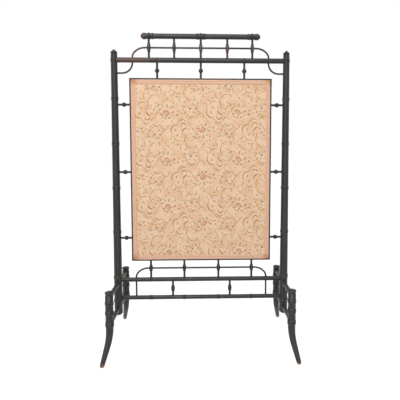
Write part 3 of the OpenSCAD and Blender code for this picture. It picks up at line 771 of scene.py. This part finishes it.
def weave_group():
    """Plain weave: threads over and under, and the unevenness of the yarn, from a flat place in metres."""
    bench, inputs, outputs = shader_group(
        "plain_weave", {"Place": (0.0, 0.0, 0.0), "Thread": MM}, {"Height": 0.0, "Yarn": 0.0}
    )
    count = bench.math("DIVIDE", math.pi, inputs["Thread"])
    parts = bench.parts(inputs["Place"])
    across = bench.math("SINE", bench.math("MULTIPLY", parts["X"], count))
    down = bench.math("SINE", bench.math("MULTIPLY", parts["Y"], count))
    over = bench.math("MULTIPLY", across, down)
    height = bench.math("MAXIMUM", bench.math("MULTIPLY", across, across), bench.math("MULTIPLY", down, down))
    height = bench.math("MULTIPLY_ADD", over, 0.35, height)
    slub = bench.noise(bench.vector("MULTIPLY", inputs["Place"], (300.0, 1400.0, 1.0)), 1.0, 2.0)
    bench.plug(outputs["Height"], height)
    bench.plug(outputs["Yarn"], slub)
    return bench.tree


def cloth_place(bench):
    node = bench.add("ShaderNodeUVMap", uv_map="flat")
    return node.outputs[0]


def tapestry_material(weave):
    cloth = bpy.context.scene.screen_tapestry
    material, bench, shader, _ = new_material("scroll_tapestry")
    flat = cloth_place(bench)
    mapping = bench.add("ShaderNodeMapping", vector_type="POINT")
    mapping.inputs["Rotation"].default_value = (0.0, 0.0, -cloth.turn)
    mapping.inputs["Scale"].default_value = (1000.0, 1000.0, 1.0)
    mapping.inputs["Location"].default_value = (-PATTERN_START.x, PANEL_MIDDLE_Z - PATTERN_START.y, 0.0)
    bench.plug(mapping.inputs["Vector"], flat)
    place = mapping.outputs[0]
    wobble = bench.add("ShaderNodeTexNoise")
    bench.plug(wobble.inputs["Vector"], flat)
    wobble.inputs["Scale"].default_value = 420.0
    wobble.inputs["Detail"].default_value = 2.0
    shift = bench.vector("SUBTRACT", wobble.outputs["Color"], (0.5, 0.5, 0.5))
    shift = bench.vector("MULTIPLY", shift, (WOBBLE, WOBBLE, 0.0))
    masks = bench.group(woven_pattern_group(), place=bench.vector("ADD", place, shift))
    woven = bench.group(weave, place=flat, thread=cloth.thread)
    warm = bench.span(bench.noise(flat, 34.0, 3.0), 0.4, 0.62)
    colour = bench.mix(warm, opaque(cloth.ground), opaque(cloth.ground_warm))
    broken = bench.span(woven["Yarn"], 0.25, 0.6, 0.72, 1.0)
    for name in ("mauve", "grey", "olive", "rose", "scroll", "dark"):
        mask = bench.math("MULTIPLY", masks[name.capitalize()], broken)
        colour = bench.mix(mask, colour, opaque(getattr(cloth, name)))
    shade = bench.math("MULTIPLY_ADD", woven["Yarn"], 0.24, 0.88)
    tint = bench.vector("MULTIPLY", colour, bench.joined(shade, shade, shade))
    bench.plug(shader.inputs["Base Color"], tint)
    shader.inputs["Roughness"].default_value = 0.9
    shader.inputs["Specular IOR Level"].default_value = 0.2
    shader.inputs["Sheen Weight"].default_value = 0.15
    bump(bench, shader, woven["Height"], 0.18 * MM, 0.6)
    return material


def linen_material(weave):
    back = bpy.context.scene.screen_back
    material, bench, shader, _ = new_material("backing_linen")
    flat = cloth_place(bench)
    woven = bench.group(weave, place=flat, thread=back.thread)
    shade = bench.math("MULTIPLY_ADD", woven["Yarn"], 0.3, 0.85)
    tint = bench.vector("MULTIPLY", tuple(back.linen), bench.joined(shade, shade, shade))
    bench.plug(shader.inputs["Base Color"], tint)
    shader.inputs["Roughness"].default_value = 0.95
    shader.inputs["Specular IOR Level"].default_value = 0.15
    bump(bench, shader, woven["Height"], 0.2 * MM, 0.6)
    return material


def braid_material(name, along, span):
    """Gimp braid that runs along one axis. span holds the lowest and highest corner of the four strips."""
    braid = bpy.context.scene.screen_braid
    material, bench, shader, place = new_material(name)
    parts = bench.parts(place)
    run = parts[along]
    across = parts["Z" if along == "X" else "X"]
    twist = bench.math("MULTIPLY", run, 2 * math.pi / braid.loop)
    slant = bench.math("MULTIPLY", bench.math("ABSOLUTE", across), 2 * math.pi / braid.loop)
    strand = bench.math("SINE", bench.math("ADD", twist, slant))
    fibre = bench.noise(place, 900.0, 2.0, 0.6)
    patch = bench.noise(place, 45.0, 2.0, 0.6)
    height = bench.math("MULTIPLY_ADD", fibre, 0.5, strand)
    colour = bench.mix(bench.span(strand, -0.9, 0.3), opaque(braid.edge), opaque(braid.cord))
    corner = None
    for axis in "XZ":
        low, high = getattr(span[0], axis.lower()), getattr(span[1], axis.lower())
        away = bench.math("ABSOLUTE", bench.math("SUBTRACT", parts[axis], (low + high) / 2))
        half = (high - low) / 2
        near = bench.span(away, half - 26 * MM, half - 4 * MM)
        corner = near if corner is None else bench.math("MULTIPLY", corner, near)
    glued = bench.math("MULTIPLY", corner, bench.span(patch, 0.32, 0.6, 0.35, 1.0))
    colour = bench.mix(glued, colour, opaque(braid.stain))
    bench.plug(shader.inputs["Base Color"], colour)
    shader.inputs["Roughness"].default_value = 0.85
    shader.inputs["Specular IOR Level"].default_value = 0.2
    bump(bench, shader, height, 0.35 * MM, 0.7)
    return material


def stretched_cloth(name, node, side, crown, material):
    """A thin sheet over one side of the panel, in place of a cloth node. side is -1 in front, 1 behind."""
    low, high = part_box(node)
    width, height = high.x - low.x, high.z - low.z
    centre = (low + high) / 2
    outer = low.y if side < 0 else high.y
    shape = bmesh.new()
    flat = shape.loops.layers.uv.new("flat")
    bmesh.ops.create_grid(shape, x_segments=70, y_segments=92, size=0.5)
    for face in shape.faces:
        face.smooth = True
        for loop in face.loops:
            loop[flat].uv = (loop.vert.co.x * width, loop.vert.co.y * height)
    for vert in shape.verts:
        u, v = vert.co.x, vert.co.y
        out = crown * math.cos(math.pi * u) * math.cos(math.pi * v)
        vert.co = (centre.x - side * u * width, outer + side * out, centre.z + v * height)
    cloth = object_from(name, shape, material)
    thick = cloth.modifiers.new("thickness", "SOLIDIFY")
    thick.thickness = high.y - low.y
    thick.offset = -1.0
    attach(cloth, "root")
    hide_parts(node)


class FIRESCREEN_OT_tapestry(bpy.types.Operator):
    """Stretch the woven tapestry over the front of the panel"""

    bl_idname = "firescreen.tapestry"
    bl_label = "Stretch the Tapestry"

    def execute(self, context):
        material = tapestry_material(bpy.data.node_groups["plain_weave"])
        stretched_cloth("scroll_tapestry", "tapestry", -1, 0.5 * MM, material)
        return {"FINISHED"}


class FIRESCREEN_OT_backing(bpy.types.Operator):
    """Stretch the plain linen over the back of the panel"""

    bl_idname = "firescreen.backing"
    bl_label = "Stretch the Backing"

    def execute(self, context):
        material = linen_material(bpy.data.node_groups["plain_weave"])
        stretched_cloth("backing_linen", "backing_cloth", 1, 0.2 * MM, material)
        return {"FINISHED"}


class FIRESCREEN_OT_braid(bpy.types.Operator):
    """Weave the four strips of gimp braid round the tapestry"""

    bl_idname = "firescreen.braid"
    bl_label = "Weave the Gimp Braid"

    def execute(self, context):
        strips = [name for name in sorted(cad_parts) if name.startswith("gimp_")]
        corners = [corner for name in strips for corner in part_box(name)]
        low = Vector(min(corner[axis] for corner in corners) for axis in range(3))
        high = Vector(max(corner[axis] for corner in corners) for axis in range(3))
        level = braid_material("gimp_braid_level", "X", (low, high))
        upright = braid_material("gimp_braid_upright", "Z", (low, high))
        for name in strips:
            start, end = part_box(name)
            material = level if end.x - start.x > end.z - start.z else upright
            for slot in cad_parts[name].material_slots:
                slot.material = material
        return {"FINISHED"}


class FIRESCREEN_OT_stage(bpy.types.Operator):
    """Set up the pale floor, the soft lights and the camera"""

    bl_idname = "firescreen.stage"
    bl_label = "Set the Stage"

    def execute(self, context):
        studio = context.scene.screen_studio
        self.floor(studio)
        self.world(context, studio)
        self.lights(context, studio)
        self.camera(context, studio)
        context.scene.view_settings.view_transform = "Standard"
        return {"FINISHED"}

    def floor(self, studio):
        material, bench, shader, _ = new_material("pale_floor")
        shader.inputs["Base Color"].default_value = opaque((0.86, 0.86, 0.86))
        shader.inputs["Roughness"].default_value = 0.9
        shader.inputs["Specular IOR Level"].default_value = 0.1
        rays = bench.add("ShaderNodeLightPath").outputs
        seen = bench.math("MAXIMUM", rays["Is Camera Ray"], rays["Is Glossy Ray"])
        seen = bench.math("MAXIMUM", seen, rays["Is Transmission Ray"])
        glow = bench.add("ShaderNodeEmission")
        glow.inputs["Color"].default_value = opaque((1.0, 1.0, 1.0))
        glow.inputs["Strength"].default_value = 1.3
        mixed = bench.add("ShaderNodeMixShader")
        bench.plug(mixed.inputs[0], bench.math("MULTIPLY", seen, 0.75))
        bench.plug(mixed.inputs[1], shader.outputs[0])
        bench.plug(mixed.inputs[2], glow.outputs[0])
        output = next(node for node in material.node_tree.nodes if node.type == "OUTPUT_MATERIAL")
        bench.plug(output.inputs["Surface"], mixed.outputs[0])
        shape = bmesh.new()
        bmesh.ops.create_grid(shape, x_segments=1, y_segments=1, size=studio.floor_width / 2)
        object_from("pale_floor", shape, material)

    def world(self, context, studio):
        world = bpy.data.worlds.new("pale_room")
        context.scene.world = world
        world.use_nodes = True
        world.node_tree.nodes.clear()
        bench = Bench(world.node_tree)
        rays = bench.add("ShaderNodeLightPath").outputs
        seen = bench.math("MAXIMUM", rays["Is Camera Ray"], rays["Is Glossy Ray"])
        seen = bench.math("MAXIMUM", seen, rays["Is Transmission Ray"])
        light = bench.add("ShaderNodeBackground")
        bench.plug(light.inputs["Strength"], bench.blend(seen, studio.ambient, 1.0))
        light.inputs["Color"].default_value = opaque((1.0, 1.0, 1.0))
        output = bench.add("ShaderNodeOutputWorld")
        bench.plug(output.inputs["Surface"], light.outputs[0])

    def lights(self, context, studio):
        self.area(context, "soft_key", (-0.5, -1.9, 2.6), (0.0, 0.0, 0.62), (2.0, 1.4), studio.key)
        self.area(context, "front_strip", (-0.1, -2.4, 1.0), (0.0, 0.0, 0.6), (0.35, 1.8), studio.strip)

    def area(self, context, name, place, aim, size, power):
        light = bpy.data.lights.new(name, "AREA")
        light.shape = "RECTANGLE"
        light.size, light.size_y = size
        light.energy = power
        lamp = bpy.data.objects.new(name, light)
        lamp.location = place
        lamp.rotation_euler = (Vector(aim) - Vector(place)).to_track_quat("-Z", "Y").to_euler()
        context.scene.collection.objects.link(lamp)

    def camera(self, context, studio):
        eye = bpy.data.cameras.new("photo_view")
        eye.sensor_width = 36.0
        eye.lens = LENS
        eye.shift_x, eye.shift_y = SHIFT
        holder = bpy.data.objects.new("photo_view", eye)
        holder.location = studio.camera_place
        holder.rotation_euler = (math.pi / 2 - studio.camera_down, 0.0, -studio.camera_right)
        context.scene.collection.objects.link(holder)
        context.scene.camera = holder


STEPS = (
    FIRESCREEN_OT_stage,
    FIRESCREEN_OT_wood,
    FIRESCREEN_OT_legs,
    FIRESCREEN_OT_tapestry,
    FIRESCREEN_OT_backing,
    FIRESCREEN_OT_braid,
)


class FIRESCREEN_PT_panel(bpy.types.Panel):
    bl_label = "Fire Screen"
    bl_idname = "FIRESCREEN_PT_panel"
    bl_space_type = "VIEW_3D"
    bl_region_type = "UI"
    bl_category = "Fire Screen"

    def draw(self, context):
        for step in STEPS:
            self.layout.operator(step.bl_idname)
        for name, group in SETTINGS.items():
            box = self.layout.box()
            box.label(text=group.__doc__)
            for label in group.__annotations__:
                box.prop(getattr(context.scene, name), label)


CLASSES = (*SETTINGS.values(), *STEPS, FIRESCREEN_PT_panel)


def register():
    for kind in CLASSES:
        bpy.utils.register_class(kind)
    for name, group in SETTINGS.items():
        setattr(bpy.types.Scene, name, PointerProperty(type=group))


def unregister():
    for name in SETTINGS:
        delattr(bpy.types.Scene, name)
    for kind in reversed(CLASSES):
        bpy.utils.unregister_class(kind)


def main():
    register()
    weave_group()
    for step in STEPS:
        family, name = step.bl_idname.split(".")
        getattr(getattr(bpy.ops, family), name)()


if __name__ == "__main__":
    main()
